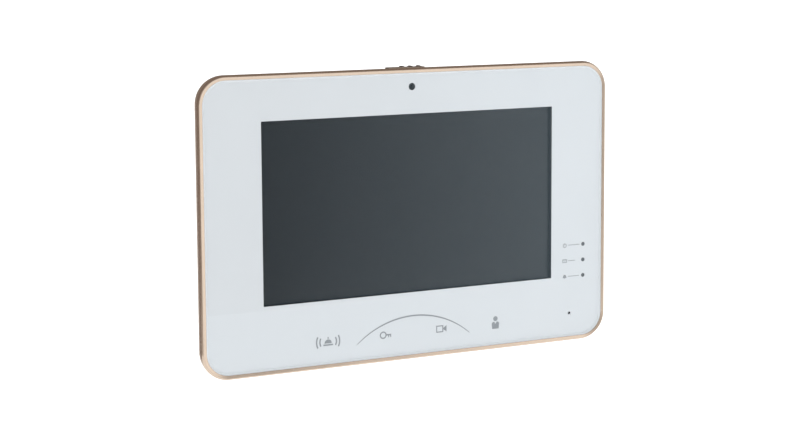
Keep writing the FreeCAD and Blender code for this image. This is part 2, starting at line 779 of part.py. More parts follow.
def cut_housing_openings(body):
    behind = "housing_back - 1"
    through = "recess_floor + wall - housing_back + 2"
    gap = "recess_gap"

    def recess(sketch):
        reach = f"plate_width / 2 + {gap}"
        heights = (f"-(plate_height / 2 + {gap} + lift)", f"plate_height / 2 + {gap}")
        rectangle(sketch, (f"-({reach})", reach), heights)

    def tongue_recess(sketch):
        reach = f"tab_half + {gap}"
        heights = (f"tab_bottom - lift - {gap}", f"-(plate_height / 2 + lift)")
        rectangle(sketch, (f"-({reach})", reach), heights)

    def slots(sketch):
        for x, z in HOOKS:
            half = "hook_width / 2 + 0.5"
            heights = (f"{z} - plate_thick - lift - 0.4", f"{z} + 0.03")
            rectangle(sketch, (f"{x} - ({half})", f"{x} + {half}"), heights)
        tab_ends = (f"-(tab_half + {gap})", f"tab_half + {gap}")
        rectangle(sketch, tab_ends, ("tab_bottom - lift - 0.25", "-52.3"))
        jack = centred("jack_width + 0.8", "jack_height + 0.8", "jack_z", "jack_x")
        rectangle(sketch, *jack)
        for name in ("door", "power"):
            size = (f"{name}_width + 0.8", "terminal_height + 0.8")
            rectangle(sketch, *centred(*size, f"{name}_z", f"{name}_x"))

    def grille(sketch):
        rows = 7
        for row in range(rows):
            offset = (row - rows // 2) * 3.2
            length = 2 * math.sqrt(11.5 ** 2 - offset ** 2)
            slot(sketch, "speaker_x", f"speaker_z + {offset}", length, 0.8)

    def vents(sketch):
        for row in range(6):
            slot(sketch, "78", f"18 + {row} * 4.5", 20, 0.9)

    def head_holes(sketch):
        for x, z in CARRIER_SCREWS:
            circle(sketch, x, z, "head_hole")

    def shank_holes(sketch):
        for x, z in CARRIER_SCREWS:
            circle(sketch, x, z, "shank_hole")

    def post_bores(sketch):
        for x, z in POSTS:
            circle(sketch, x, z, "screw_radius + 0.02")

    cut_through(body, "plate_recess", behind, f"recess_floor - ({behind})", recess)
    cut_through(body, "tongue_recess", behind, f"recess_floor - ({behind})", tongue_recess)
    cut_through(body, "floor_openings", behind, through, slots)
    cut_through(body, "speaker_grille", behind, "wall + 2", grille)
    cut_through(body, "vents", behind, "wall + 2", vents)
    cut_through(body, "head_holes", behind, f"screw_seat - ({behind})", head_holes)
    cut_through(body, "shank_holes", behind, "ring_back + 2", shank_holes)
    cut_through(body, "post_bores", "8.4", f"{BOARD_BACK} - 7.4", post_bores)
    for name, radius, length in (("lock_hole", "lock_hole", "12"), ("lock_seat", "lock_head + 0.3", None)):
        sketch = level_sketch(body, f"{name}_circle", "-70")
        circle(sketch, "0", "-lock_depth", radius)
        pocket(body, sketch, length or "lock_seat + 70")


# ---------------------------------------------------------------- wall plate and lock screw

def make_wall_plate():
    """Steel plate with four hooks, a tab for the lock screw, screw slots and a cable opening."""
    body = new_body("wall_plate")
    half_x, half_z = "plate_width / 2", "plate_height / 2"
    tab = ("-tab_half", "tab_half")

    def outer(sketch):
        rounded_rectangle(sketch, (f"-{half_x}", half_x), (f"-{half_z}", half_z), "plate_corner")

    def legs(sketch):
        for x, z in HOOKS:
            rectangle(sketch, (f"{x} - hook_width / 2", f"{x} + hook_width / 2"), (f"{z} - plate_thick", z))

    def tips(sketch):
        for x, z in HOOKS:
            sides = (f"{x} - hook_width / 2", f"{x} + hook_width / 2")
            rectangle(sketch, sides, (f"{z} - 0.5", f"{z} + hook_tip"))

    def openings(sketch):
        for side in (-1, 1):
            slot(sketch, f"{side} * box_pitch / 2", "0", "slot_long", "slot_half")
            for level in (-1, 1):
                circle(sketch, f"{side} * anchor_x / 2", f"{level} * anchor_z / 2", "anchor_hole")
        rounded_rectangle(sketch, ("-cable_half", "cable_half"), ("cable_bottom", "cable_top"), "3")

    add_on(body, "plate_sheet", "0", "plate_thick", outer)
    tongue = ("tab_bottom", f"-{half_z} + 1")
    add_on(body, "tab_tongue", "0", "plate_thick", lambda s: rectangle(s, tab, tongue))
    shelf = ("tab_bottom", "tab_bottom + plate_thick")
    add_on(body, "tab_shelf", "0", "tab_reach", lambda s: rectangle(s, tab, shelf))
    add_on(body, "hook_legs", "plate_thick - 0.2", "hook_reach - plate_thick + 0.2", legs)
    add_on(body, "hook_tips", "hook_reach - plate_thick", "plate_thick", tips)
    cut_through(body, "plate_openings", "-1", "plate_thick + 2", openings)
    thread = level_sketch(body, "thread_circle", "tab_bottom - 1")
    circle(thread, "0", "-lock_depth", "lock_radius + 0.02")
    pocket(body, thread, "plate_thick + 2")


def make_lock_screw():
    """Screw from below that keeps the monitor's foot on the plate. Its thread is drawn plain."""
    head_low = "lock_seat - 0.05 - lock_head_high"
    head = upright("lock_head", "0", "lock_depth", (head_low, "lock_seat - 0.05"), "lock_head")
    shank = upright("lock_shank", "0", "lock_depth", ("lock_seat - 0.2", "-51.5"), "lock_radius")
    cross = (f"{head_low} - 1", f"{head_low} + 1.2")
    recess = [
        block("lock_cross_a", ("-1.6", "1.6"), ("lock_depth - 0.35", "lock_depth + 0.35"), cross),
        block("lock_cross_b", ("-0.35", "0.35"), ("lock_depth - 1.6", "lock_depth + 1.6"), cross),
    ]
    keep(cut("lock_screw", fuse("lock_solid", [head, shank]), recess), "lock_screw")


SMALL_SCREW = ("screw_radius", "screw_head", "screw_head_high")
BOARD_SCREW = ("screw_radius", "screw_head", "1.1")
CAMERA_SCREW = ("0.9", "1.8", "1.1")


def cross_screw(name, x, z, seat, length, direction, kind=SMALL_SCREW):
    """Screw along the depth. Its head lies behind the seat if direction is 1, in front of it if -1."""
    radius, head, high = kind
    head_depths = (f"{seat} - ({high})", seat) if direction > 0 else (seat, f"{seat} + {high}")
    reach = (f"{seat} - 0.1", f"{seat} + {length}")
    if direction < 0:
        reach = (f"{seat} - {length}", f"{seat} + 0.1")
    pieces = [disc(f"{name}_head", x, head_depths, z, head), disc(f"{name}_shank", x, reach, z, radius)]
    solid = fuse(f"{name}_solid", pieces)
    face = head_depths[0] if direction > 0 else head_depths[1]
    bite = (f"{face} - 0.8", f"{face} + 0.8")
    arms = [
        block(f"{name}_arm_a", (f"{x} - 1.2", f"{x} + 1.2"), bite, (f"{z} - 0.3", f"{z} + 0.3")),
        block(f"{name}_arm_b", (f"{x} - 0.3", f"{x} + 0.3"), bite, (f"{z} - 1.2", f"{z} + 1.2")),
    ]
    return cut(name, solid, arms)


def make_screws():
    housing = [
        cross_screw(f"housing_screw_{n}", x, z, "screw_seat", "14.5", 1)
        for n, (x, z) in enumerate(CARRIER_SCREWS)
    ]
    keep(group("housing_screws", housing), "housing_screws")
    board = [
        cross_screw(f"board_screw_{n}", x, z, "board_front", "7.8", -1, BOARD_SCREW)
        for n, (x, z) in enumerate(POSTS)
    ]
    keep(group("board_screws", board), "board_screws")
    sides = [f"{side} * camera_screw_x" for side in (-1, 1)]
    camera = [
        cross_screw(f"camera_screw_{n}", x, "camera_screw_z", "camera_board_back", "4.5", 1, CAMERA_SCREW)
        for n, x in enumerate(sides)
    ]
    keep(group("camera_screws", camera), "camera_screws")


# ---------------------------------------------------------------- boards and what stands on them

def make_main_board():
    """Green circuit board on the housing's four posts."""
    size = (("-board_half", "board_half"), ("board_bottom", "board_top"))
    body = plate("main_board", BOARD_BACK, "board_thick", lambda s: rectangle(s, *size))

    def holes(sketch):
        for x, z in POSTS:
            circle(sketch, x, z, "shank_hole")

    cut_through(body, "board_holes", f"{BOARD_BACK} - 1", "board_thick + 2", holes)


def chip(name, x, z, size, high):
    """A flat package on the back of the main board."""
    x_ends, z_ends = centred(*size, z, x)
    return block(name, x_ends, (f"{BOARD_BACK} - {high}", BOARD_BACK), z_ends)


def make_chips():
    keep(chip("processor", "-4", "18", ("17", "17"), "1.6"), "processor")
    memory = [chip(f"memory_{n}", "22", f"{12 + 12 * n}", ("13", "9"), "1.0") for n in range(2)]
    keep(group("memory_chips", memory), "memory_chips")
    keep(chip("storage_chip", "-27", "8", ("12", "18"), "1.2"), "storage_chip")
    keep(chip("audio_chip", "-52", "-8", ("9", "9"), "1.0"), "audio_chip")
    keep(chip("network_transformer", "-13", "-33", ("13", "8"), "3.5"), "network_transformer")
    keep(chip("card_socket", "50.5", "4", ("15", "14"), "1.9"), "card_socket")
    coils = [chip(f"coil_{n}", "31", f"{-14 - 12 * n}", ("8", "8"), "4.0") for n in range(2)]
    keep(group("power_coils", coils), "power_coils")
    cans = []
    for n in range(3):
        z = f"{-12 + 9 * n}"
        cans.append(disc(f"capacitor_{n}", "-43", (f"{BOARD_BACK} - 5.8", BOARD_BACK), z, "3.15"))
    keep(group("capacitors", cans), "capacitors")
    cell = disc("cell_body", "8", (f"{BOARD_BACK} - 3.4", BOARD_BACK), "1", "6.2")
    keep(cell, "backup_cell")


def make_heat_spreader():
    """Aluminium plate with fins on the processor."""
    fins = []
    chip_back = f"{BOARD_BACK} - 1.6"
    base = block("spreader_base", ("-16", "8"), (f"{chip_back} - 1.2", chip_back), ("8", "28"))
    for n in range(7):
        low = f"{8.2 + 3.1 * n}"
        depths = (f"{chip_back} - 4.4", f"{chip_back} - 1")
        fins.append(block(f"fin_{n}", ("-16", "8"), depths, (low, f"{low} + 1")))
    keep(fuse("heat_spreader", [base] + fins), "heat_spreader")


def make_network_jack():
    """Network socket that opens towards the wall, with a latch notch and a block for its contacts."""
    x_ends, z_ends = centred("jack_width", "jack_height", "jack_z", "jack_x")
    shell = block("jack_shell", x_ends, ("connector_end", BOARD_BACK), z_ends)
    mouth_x, mouth_z = centred("jack_mouth_width", "jack_mouth_height", "jack_z", "jack_x")
    deep = ("connector_end - 1", "connector_end + jack_mouth_deep")
    mouth = block("jack_mouth", mouth_x, deep, mouth_z)
    low = "jack_z - jack_mouth_height / 2"
    notch = block("jack_notch", ("jack_x - 3", "jack_x + 3"), deep, (f"{low} - 1.6", f"{low} + 0.5"))
    keep(cut("network_jack", shell, [mouth, notch]), "network_jack")
    pins = []
    for n in range(8):
        x = f"jack_x + {(n - 3.5) * 1.02}"
        reach = ("connector_end + 3", "connector_end + jack_mouth_deep")
        top = "jack_z + jack_mouth_height / 2"
        pins.append(block(f"jack_pin_{n}", (f"{x} - 0.25", f"{x} + 0.25"), reach, (f"{top} - 0.9", top)))
    keep(group("jack_contacts", pins), "jack_contacts")


def terminal(label, prefix, poles):
    """Screw-cage terminal block with its wire holes towards the wall."""
    x_ends, z_ends = centred(f"{prefix}_width", "terminal_height", f"{prefix}_z", f"{prefix}_x")
    case = block(f"{label}_case", x_ends, ("connector_end", BOARD_BACK), z_ends)
    tools = []
    for n in range(poles):
        x = f"{prefix}_x + {n - (poles - 1) / 2} * pole_pitch"
        wire = ("connector_end - 1", "connector_end + 6.5")
        tools.append(disc(f"{label}_wire_{n}", x, wire, f"{prefix}_z - 1.2", "pole_radius"))
        press = ("connector_end - 1", "connector_end + 1.2")
        x_press = (f"{x} - 1.2", f"{x} + 1.2")
        tools.append(block(f"{label}_press_{n}", x_press, press, (f"{prefix}_z + 1", f"{prefix}_z + 2.8")))
    keep(cut(label, case, tools), label)


def make_key_board():
    """Touch-key board that lies against the print, and the strip that joins it to the main board."""
    size = (("-key_board_half", "key_board_half"), ("key_board_bottom", "key_board_top"))
    plate("touch_key_board", "key_board_back", "key_board_thick", lambda s: rectangle(s, *size))
    x_ends = ("key_flex_x - flex_half", "key_flex_x + flex_half")
    far = "-47.6"
    folded_strip(
        "key_strip",
        [
            (x_ends, ("key_board_back - flex_thick", "key_board_back"), ("-54", far)),
            (x_ends, (f"{BOARD_BACK} - flex_thick", "key_board_back"), (far, f"{far} + flex_thick")),
            (x_ends, (f"{BOARD_BACK} - flex_thick", BOARD_BACK), (far, "-39")),
        ],
    )


def make_screen_strip():
    """Strip from the back of the screen round the main board's lower edge."""
    x_ends = ("-34", "-20")
    far = "-47.2"
    folded_strip(
        "screen_strip",
        [
            (x_ends, (f"{TRAY_BACK} - flex_thick", TRAY_BACK), (far, "-30")),
            (x_ends, (f"{BOARD_BACK} - flex_thick", TRAY_BACK), (far, f"{far} + flex_thick")),
            (x_ends, (f"{BOARD_BACK} - flex_thick", BOARD_BACK), (far, "-39")),
        ],
    )


def folded_strip(label, runs):
    """A flat flexible strip folded square, one block for each run."""
    keep(fuse(label, [block(f"{label}_{n}", *run) for n, run in enumerate(runs)]), label)


def make_strip_sockets():
    """White sockets where the strips end on the main board."""
    depth = (f"{BOARD_BACK} - 1.4", f"{BOARD_BACK} - flex_thick")
    sockets = [
        block("socket_screen", ("-35", "-19"), depth, ("-41", "-38")),
        block("socket_keys", ("key_flex_x - 6", "key_flex_x + 6"), depth, ("-41", "-38")),
        block("socket_camera", ("-5", "5"), depth, ("34.5", "37")),
    ]
    keep(group("strip_sockets", sockets), "strip_sockets")


def make_camera():
    """Small board with a square holder, a barrel, its lens and the strip to the main board."""
    half = "camera_board_half"
    board = plate(
        "camera_board",
        "camera_board_back",
        "camera_board_front - camera_board_back",
        lambda s: rectangle(s, (f"-{half}", half), ("57.5", "64.2")),
    )

    def holes(sketch):
        for side in (-1, 1):
            circle(sketch, f"{side} * camera_screw_x", "camera_screw_z", "1.05")

    cut_through(board, "camera_board_holes", "camera_board_back - 1", "3", holes)
    span = "holder_half"
    x_ends, z_ends = centred(f"2 * {span}", f"2 * {span}", "lens_up")
    cube = block("holder_cube", x_ends, ("camera_board_front", "holder_front"), z_ends)
    bore_ends = ("camera_board_front + 1.2", "holder_front + 1")
    bore = disc("holder_bore", "0", bore_ends, "lens_up", "barrel_radius + 0.03")
    keep(cut("camera_holder", cube, [bore]), "camera_holder")
    rear = "camera_board_front + 2"
    barrel = disc("barrel_rod", "0", (rear, "barrel_front"), "lens_up", "barrel_radius")
    mouth = ("barrel_front - 1.4", "barrel_front + 0.01")
    sight = cone("barrel_cone", "0", mouth, "lens_up", ("lens_radius", "2.2"))
    light = disc("barrel_bore", "0", (f"{rear} - 1", "barrel_front - 1.39"), "lens_up", "lens_radius")
    keep(cut("camera_barrel", barrel, [sight, light]), "camera_barrel")
    lens_depths = ("barrel_front - 3", "barrel_front - 1.4")
    keep(disc("camera_lens", "0", lens_depths, "lens_up", "lens_radius - 0.02"), "camera_lens")
    x_ends = ("-4", "4")
    folded_strip(
        "camera_strip",
        [
            (x_ends, ("camera_board_back - flex_thick", "camera_board_back"), ("40", "58.5")),
            (x_ends, ("camera_board_back - flex_thick", BOARD_BACK), ("40", "40 + flex_thick")),
            (x_ends, (f"{BOARD_BACK} - flex_thick", BOARD_BACK), ("35", "40 + flex_thick")),
        ],
    )


def make_indicators():
    """Lamp board, three lamps, the black block that keeps their light apart and three clear pipes."""
    floor = "carrier_floor"
    plate("lamp_board", floor, "1.0", lambda s: rectangle(s, ("90.5", "101"), ("-44", "-16")))
    front = f"{floor} + 1.0"
    lamps, pipes, tools = [], [], []
    for n, z in enumerate(LAMPS):
        lamps.append(disc(f"lamp_{n}", "lamp_x", (front, f"{front} + 0.7"), z, "0.8"))
        pipes.append(disc(f"pipe_{n}", "lamp_x", (f"{front} + 0.8", f"{INK_BACK} - 0.05"), z, "0.95"))
        tools.append(disc(f"pipe_bore_{n}", "lamp_x", (f"{front} - 1", INK_BACK), z, "0.98"))
    shield = block("shield_block", ("93", "99"), (front, f"{INK_BACK} - 0.1"), ("-41.5", "-18.5"))
    keep(group("indicator_lamps", lamps), "indicator_lamps")
    keep(group("light_pipes", pipes), "light_pipes")
    keep(cut("lamp_shield", shield, tools), "lamp_shield")


def make_microphone():
    """Capsule in a rubber boot whose channel meets the hole in the glass."""
    boot = disc("boot_rod", "mic_x", ("carrier_floor", INK_BACK), "mic_z", "3.0")
    cavity = disc("boot_cavity", "mic_x", ("carrier_floor + 0.6", "carrier_floor + 2.2"), "mic_z", "2.0")
    channel = disc("boot_channel", "mic_x", ("carrier_floor + 1", "glass_face"), "mic_z", "mic_hole")
    keep(cut("microphone_boot", boot, [cavity, channel]), "microphone_boot")
    capsule = ("carrier_floor + 0.6", "carrier_floor + 2.2")
    keep(disc("microphone", "mic_x", capsule, "mic_z", "2.0"), "microphone")


def make_speaker():
    """Loudspeaker behind the grille: foam ring, steel basket, paper cone and magnet."""
    x, z = "speaker_x", "speaker_z"
    floor = "speaker_floor"
    rim = f"{floor} + speaker_gasket_thick"
    ring = disc("foam_disc", x, (floor, rim), z, "speaker_radius")
    foam_hole = disc("foam_hole", x, (f"{floor} - 1", f"{rim} + 1"), z, "12.4")
    keep(cut("speaker_gasket", ring, [foam_hole]), "speaker_gasket")
    shell = fuse(
        "basket_shell",
        [
            disc("basket_rim", x, (rim, f"{rim} + 1"), z, "speaker_radius"),
            cone("basket_cone", x, (f"{rim} + 1", f"{rim} + 4"), z, ("12.6", "8")),
        ],
    )
    inside = cone("basket_inside", x, (f"{rim} - 0.01", f"{rim} + 3.2"), z, ("12.4", "7.4"))
    hub = disc("basket_hub", x, (f"{rim} + 2", f"{rim} + 5"), z, "3.4")
    keep(cut("speaker_basket", shell, [inside, hub]), "speaker_basket")
    keep(disc("speaker_magnet", x, (f"{rim} + 4", f"{rim} + 7.4"), z, "7.0"), "speaker_magnet")
    dome = cone("cone_outer", x, (f"{rim} + 0.4", f"{rim} + 2.4"), z, ("11.2", "3.2"))
    hollow = cone("cone_inner", x, (f"{rim} + 0.39", f"{rim} + 1.9"), z, ("10.6", "2.6"))
    keep(cut("speaker_cone", dome, [hollow]), "speaker_cone")


def make_wall_pads():
    """Four soft pads on the housing's back face, just short of the wall."""
    pads = []
    depths = ("housing_back - 0.5", "housing_back")
    for side in (-1, 1):
        for level in (-1, 1):
            pads.append(disc(f"pad_{len(pads)}", f"{side} * 93", depths, f"{level} * 36", "4"))
    keep(group("wall_pads", pads), "wall_pads")


make_front_glass()
make_ink_layer()
make_touch_sensor()
make_screen_gasket()
make_screen()
make_trim_frame()
make_slider_plinth()
make_shutter()
make_inner_carrier()
make_rear_housing()
make_wall_plate()
make_lock_screw()
make_screws()
make_main_board()
make_chips()
make_heat_spreader()
make_network_jack()
terminal("door_terminal", "door", 6)
terminal("power_terminal", "power", 4)
make_key_board()
make_screen_strip()
make_strip_sockets()
make_camera()
make_indicators()
make_microphone()
make_speaker()
make_wall_pads()
doc.recompute()

for item in doc.Objects:
    if "Invalid" in item.State or "Error" in item.State:
        raise ValueError(f"{item.Label} failed: {item.State}")
os.makedirs("parts", exist_ok=True)
for item in subparts:
    shape = item.Shape
    if shape.isNull() or not shape.isValid() or not shape.Solids:
        raise ValueError(f"{item.Label} has no valid solid")
    shape.exportStep(f"parts/{item.Label}.step")
print(len(subparts), "sub-parts written")
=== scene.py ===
"""Looks of the wall-mounted video intercom monitor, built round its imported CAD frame.

The monitor faces -Y. The wall is the plane y = 0, +X is to the viewer's right and +Z is up. Metres.
"""

import json
import math

import bmesh
import bpy
from mathutils import Matrix, Vector


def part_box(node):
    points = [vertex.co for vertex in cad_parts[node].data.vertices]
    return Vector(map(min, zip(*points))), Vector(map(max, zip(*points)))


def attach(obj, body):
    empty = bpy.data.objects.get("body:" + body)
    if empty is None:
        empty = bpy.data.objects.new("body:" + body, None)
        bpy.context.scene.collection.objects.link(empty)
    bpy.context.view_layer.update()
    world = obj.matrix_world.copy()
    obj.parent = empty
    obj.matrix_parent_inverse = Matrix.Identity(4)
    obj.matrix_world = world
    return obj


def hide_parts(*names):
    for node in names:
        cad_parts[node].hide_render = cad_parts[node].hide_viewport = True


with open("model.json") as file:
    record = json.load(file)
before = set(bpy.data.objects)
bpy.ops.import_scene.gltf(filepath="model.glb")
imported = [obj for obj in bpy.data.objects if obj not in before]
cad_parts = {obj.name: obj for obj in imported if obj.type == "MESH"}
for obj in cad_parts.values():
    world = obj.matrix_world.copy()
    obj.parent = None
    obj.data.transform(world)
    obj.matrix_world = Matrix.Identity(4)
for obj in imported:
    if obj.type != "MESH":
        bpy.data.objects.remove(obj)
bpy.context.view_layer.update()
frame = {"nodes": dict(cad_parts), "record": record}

MM = 0.001
EDGE_ANGLE = math.radians(28)
STUDIO_WHITE = (1.0, 1.0, 1.0, 1.0)


# ---------------------------------------------------------------- materials

def shaded(colour, factor):
    return tuple(min(channel * factor, 1.0) for channel in colour[:3]) + (1.0,)


class Finish:
    """A material round one Principled shader, with object-space patterns for colour, gloss and relief."""

    def __init__(self, name, colour, roughness, metallic=0.0, coat=0.0, coat_roughness=0.05, specular=0.5):
        self.name = name
        self.material = bpy.data.materials.new(name)
        self.material.use_nodes = True
        self.nodes = self.material.node_tree.nodes
        self.links = self.material.node_tree.links
        self.shader = self.nodes["Principled BSDF"]
        self.colour = colour
        self.roughness = roughness
        for socket, value in (
            ("Base Color", colour),
            ("Roughness", roughness),
            ("Metallic", metallic),
            ("Coat Weight", coat),
            ("Coat Roughness", coat_roughness),
            ("Specular IOR Level", specular),
        ):
            self.shader.inputs[socket].default_value = value
        self.place = self.nodes.new("ShaderNodeTexCoord").outputs["Object"]

    def noise(self, per_metre, detail=3.0, stretch=(1, 1, 1)):
        mapping = self.nodes.new("ShaderNodeMapping")
        mapping.inputs["Scale"].default_value = stretch
        texture = self.nodes.new("ShaderNodeTexNoise")
        texture.inputs["Scale"].default_value = per_metre
        texture.inputs["Detail"].default_value = detail
        self.links.new(self.place, mapping.inputs["Vector"])
        self.links.new(mapping.outputs[0], texture.inputs["Vector"])
        return texture.outputs["Fac"]

    def vary(self, per_metre, colour_change=0.04, gloss_change=0.05, stretch=(1, 1, 1)):
        """Soft drift in colour and gloss."""
        source = self.noise(per_metre, 4.0, stretch)
        ramp = self.nodes.new("ShaderNodeValToRGB")
        ramp.color_ramp.elements[0].position = 0.3
        ramp.color_ramp.elements[1].position = 0.7
        ramp.color_ramp.elements[0].color = shaded(self.colour, 1 - colour_change)
        ramp.color_ramp.elements[1].color = shaded(self.colour, 1 + colour_change)
        gloss = self.nodes.new("ShaderNodeMapRange")
        gloss.inputs["To Min"].default_value = max(self.roughness - gloss_change, 0.02)
        gloss.inputs["To Max"].default_value = min(self.roughness + gloss_change, 1.0)
        self.links.new(source, ramp.inputs["Fac"])
        self.links.new(source, gloss.inputs["Value"])
        self.links.new(ramp.outputs["Color"], self.shader.inputs["Base Color"])
        self.links.new(gloss.outputs["Result"], self.shader.inputs["Roughness"])
        return self

    def grain(self, per_metre, depth_mm, strength=0.4, stretch=(1, 1, 1)):
        """Fine surface relief."""
        bump = self.nodes.new("ShaderNodeBump")
        bump.inputs["Strength"].default_value = strength
        bump.inputs["Distance"].default_value = depth_mm * MM
        self.links.new(self.noise(per_metre, 2.0, stretch), bump.inputs["Height"])
        self.links.new(bump.outputs["Normal"], self.shader.inputs["Normal"])
        return self

    def board_pattern(self):
        """Copper traces and pads under a solder mask."""
        traces = self.nodes.new("ShaderNodeTexBrick")
        traces.inputs["Scale"].default_value = 260.0
        traces.inputs["Mortar Size"].default_value = 0.012
        traces.inputs["Color1"].default_value = self.colour
        traces.inputs["Color2"].default_value = shaded(self.colour, 0.8)
        traces.inputs["Mortar"].default_value = shaded(self.colour, 1.9)
        turn = self.nodes.new("ShaderNodeMapping")
        turn.inputs["Rotation"].default_value = (math.pi / 2, 0, 0)
        self.links.new(self.place, turn.inputs["Vector"])
        self.links.new(turn.outputs[0], traces.inputs["Vector"])
        self.links.new(traces.outputs["Color"], self.shader.inputs["Base Color"])
        bump = self.nodes.new("ShaderNodeBump")
        bump.inputs["Distance"].default_value = 0.03 * MM
        self.links.new(traces.outputs["Fac"], bump.inputs["Height"])
        self.links.new(bump.outputs["Normal"], self.shader.inputs["Normal"])
        return self


def clear_pane(name, tint, mirror_colour):
    """Thin clear glass: what is behind it shows, and its outer face mirrors by its Fresnel share."""
    material = bpy.data.materials.new(name)
    material.use_nodes = True
    nodes, links = material.node_tree.nodes, material.node_tree.links
    nodes.remove(nodes["Principled BSDF"])
    through = nodes.new("ShaderNodeBsdfTransparent")
    through.inputs["Color"].default_value = tint
    mirror = nodes.new("ShaderNodeBsdfGlossy")
    mirror.inputs["Color"].default_value = mirror_colour
    mirror.inputs["Roughness"].default_value = 0.0
    share = nodes.new("ShaderNodeFresnel")
    share.inputs["IOR"].default_value = 1.45
    side = nodes.new("ShaderNodeNewGeometry")
    outer = nodes.new("ShaderNodeMath")
    outer.operation = "SUBTRACT"
    outer.use_clamp = True
    links.new(share.outputs[0], outer.inputs[0])
    links.new(side.outputs["Backfacing"], outer.inputs[1])
    mix = nodes.new("ShaderNodeMixShader")
    links.new(outer.outputs[0], mix.inputs[0])
    links.new(through.outputs[0], mix.inputs[1])
    links.new(mirror.outputs[0], mix.inputs[2])
    links.new(mix.outputs[0], nodes["Material Output"].inputs["Surface"])
    return material


GOLD = (0.5, 0.405, 0.325, 1.0)
COOL = (0.66, 0.86, 1.0, 1.0)
DIM = (0.1, 0.1, 0.1, 1.0)
BRUSH = (1, 1, 40)

FINISHES = {
    "cover_glass": clear_pane("cover_glass", (0.99, 0.99, 0.99, 1), COOL),
    "touch_film": clear_pane("touch_film", (0.97, 0.975, 0.98, 1), DIM),
}
for finish in (
    Finish("white_print", (0.6, 0.625, 0.645, 1), 0.5).vary(18, 0.012, 0.03).grain(900, 0.01, 0.1),
    Finish("black_foam", (0.012, 0.012, 0.014, 1), 0.9).vary(400, 0.2).grain(2500, 0.08),
    Finish("screen_glass", (0.006, 0.008, 0.01, 1), 0.16, specular=0.3).vary(9, 0.05, 0.02),
    Finish("tray_steel", (0.5, 0.5, 0.51, 1), 0.35, 1.0).vary(60).grain(700, 0.02, 0.3, BRUSH),
    Finish("gold_metal", GOLD, 0.24, 1.0).vary(90, 0.03, 0.04).grain(1500, 0.006, 0.25, BRUSH),
    Finish("slider_plastic", (0.06, 0.035, 0.028, 1), 0.45).vary(300, 0.1).grain(3000, 0.03),
    Finish("blade_plastic", (0.012, 0.012, 0.013, 1), 0.5).vary(300, 0.1).grain(3000, 0.02),
    Finish("carrier_plastic", (0.02, 0.02, 0.022, 1), 0.55).vary(200, 0.1).grain(2500, 0.03),
    Finish("white_plastic", (0.53, 0.542, 0.548, 1), 0.48).vary(35, 0.015, 0.05).grain(2600, 0.03, 0.35),
    Finish("zinc_steel", (0.42, 0.43, 0.44, 1), 0.4, 1.0).vary(70, 0.05, 0.05).grain(900, 0.02, 0.3),
    Finish("screw_steel", (0.5, 0.5, 0.5, 1), 0.3, 1.0).vary(500, 0.1).grain(2500, 0.02),
    Finish("board_green", (0.01, 0.12, 0.05, 1), 0.35, coat=0.4).board_pattern(),
    Finish("chip_black", (0.02, 0.02, 0.021, 1), 0.6).vary(500, 0.15).grain(4000, 0.02),
    Finish("coil_grey", (0.07, 0.07, 0.072, 1), 0.6).vary(500, 0.15).grain(3000, 0.03),
    Finish("can_metal", (0.66, 0.66, 0.67, 1), 0.28, 1.0).vary(300, 0.06).grain(1500, 0.01),
    Finish("fin_metal", (0.6, 0.6, 0.61, 1), 0.4, 1.0).vary(150, 0.06).grain(900, 0.02, 0.3, BRUSH),
    Finish("jack_plastic", (0.02, 0.02, 0.022, 1), 0.5).vary(300, 0.1).grain(2500, 0.03),
    Finish("contact_gold", (0.85, 0.6, 0.2, 1), 0.22, 1.0).vary(600, 0.05),
    Finish("terminal_plastic", (0.02, 0.2, 0.06, 1), 0.5).vary(300, 0.1).grain(2500, 0.03),
    Finish("strip_film", (0.5, 0.22, 0.04, 1), 0.3, coat=0.5).vary(900, 0.15, 0.05, (1, 1, 0.05)),
    Finish("socket_plastic", (0.75, 0.72, 0.62, 1), 0.5).vary(300, 0.05).grain(2500, 0.03),
    Finish("lens_glass", (0.11, 0.13, 0.135, 1), 0.12, coat=0.8, specular=0.9).vary(600, 0.3, 0.01),
    Finish("barrel_grey", (0.12, 0.132, 0.138, 1), 0.5).vary(300, 0.1).grain(3000, 0.02),
    # Darker, duller copy of the ring's gold for the slider plinth: painted shade standing in for the dark
    # its upward face reflects.
    Finish("plinth_gold_painted_shade", (0.2, 0.155, 0.12, 1), 0.4, 0.7).vary(300, 0.06).grain(2500, 0.02),
    Finish("lamp_clear", (0.09, 0.095, 0.1, 1), 0.2, coat=0.6).vary(600, 0.1),
    Finish("soft_rubber", (0.03, 0.03, 0.031, 1), 0.75).vary(300, 0.1).grain(1800, 0.05),
    Finish("cone_paper", (0.04, 0.04, 0.04, 1), 0.85).vary(500, 0.2).grain(2000, 0.08),
    Finish("magnet_metal", (0.55, 0.55, 0.56, 1), 0.3, 1.0).vary(150, 0.06).grain(900, 0.02),
    Finish("print_grey", (0.225, 0.24, 0.255, 1), 0.5).vary(700, 0.04).grain(4000, 0.005),
    Finish("print_dark", (0.045, 0.05, 0.055, 1), 0.35, coat=0.3).vary(700, 0.06),
):
    FINISHES[finish.name] = finish.material

# The slider plinth gets the darker copy of the gold, which is painted shade; the camera barrel gets its own
# grey.
FINISH_INSTEAD = {"slider_plinth": "plinth_gold_painted_shade", "camera_barrel": "barrel_grey"}
NODE_SLOT = {part["node"]: part["material_slot"] for part in frame["record"]["subparts"]}
NODE_BODY = {node: body for body, nodes in frame["record"]["behaviour"]["bodies"].items() for node in nodes}


def dress(piece, finish):
    piece.data.materials.clear()
    piece.data.materials.append(FINISHES[finish])


# ---------------------------------------------------------------- mesh helpers

def object_from(name, mesh_builder):
    mesh = bpy.data.meshes.new(name)
    mesh_builder.to_mesh(mesh)
    mesh_builder.free()
    piece = bpy.data.objects.new(name, mesh)
    bpy.context.scene.collection.objects.link(piece)
    return piece


def apply_modifiers(piece):
    graph = bpy.context.evaluated_depsgraph_get()
    mesh = bpy.data.meshes.new_from_object(piece.evaluated_get(graph))
    piece.modifiers.clear()
    piece.data = mesh


